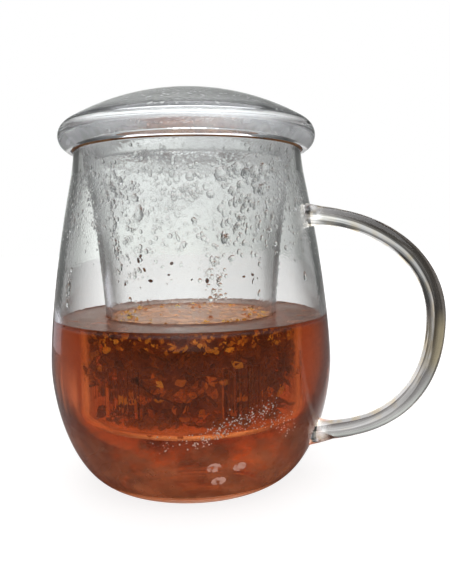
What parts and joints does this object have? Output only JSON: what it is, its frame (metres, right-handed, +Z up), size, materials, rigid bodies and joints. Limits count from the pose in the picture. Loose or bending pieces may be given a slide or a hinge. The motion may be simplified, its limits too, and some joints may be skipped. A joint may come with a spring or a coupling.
{
  "type": "glass cup of tea",
  "caption": "Pot-bellied glass cup with a rod handle, a hanging glass infuser with steeping leaves, a domed glass lid, and red-brown tea.",
  "frame": {"origin": "middle of the cup's flat foot, on the surface that it stands on", "axes": "+Z up along the axis of the turned body, +X through the handle, +Y to the side"},
  "size_m": [0.1221, 0.089, 0.1208],
  "materials": {
    "clear_glass": "clear blown glass, misted inside above the tea",
    "infuser_glass": "clear thin glass with drops and mist",
    "lid_glass": "clear blown glass, drops on its underside",
    "tea_liquid": "clear red-brown tea",
    "wet_leaves": "wet dark leaves with golden and orange petals"
  },
  "bodies": {
    "root": {"cup": "clear_glass", "infuser": "infuser_glass", "lid": "lid_glass", "tea": "tea_liquid", "tea_leaves": "wet_leaves"}
  },
  "joints": []
}
